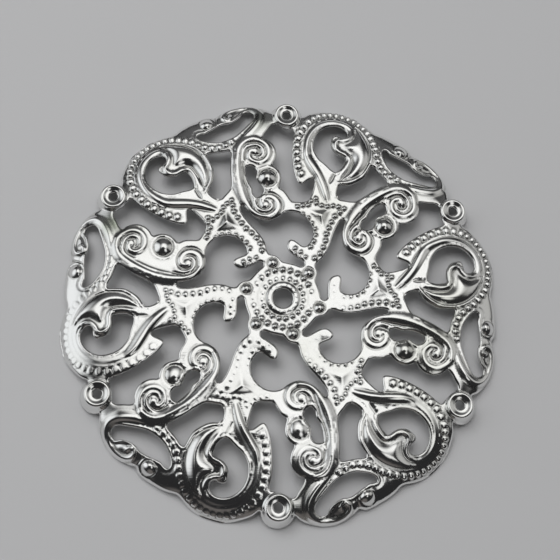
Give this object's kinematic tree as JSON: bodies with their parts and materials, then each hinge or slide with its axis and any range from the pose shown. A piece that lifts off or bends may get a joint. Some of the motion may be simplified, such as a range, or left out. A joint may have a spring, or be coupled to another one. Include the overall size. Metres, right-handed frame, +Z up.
{
  "type": "filigree stamping",
  "caption": "Round pierced and embossed sheet-metal stamping with a scroll and leaf repeat about a beaded hub, flat in the field, with eyelets in a border that turns down.",
  "frame": {"origin": "centre of the resting plane, straight under the centre hole", "axes": "+Z up out of the embossed face along the centre hole, +Y towards one of the eyelets, +X to its right"},
  "size_m": [0.065, 0.0646, 0.0039],
  "materials": {
    "plated_metal": "bright silver-tone plate over pressed brass, polished, slightly grey in the recesses"
  },
  "bodies": {
    "root": {"filigree_stamping": "plated_metal"}
  },
  "joints": []
}
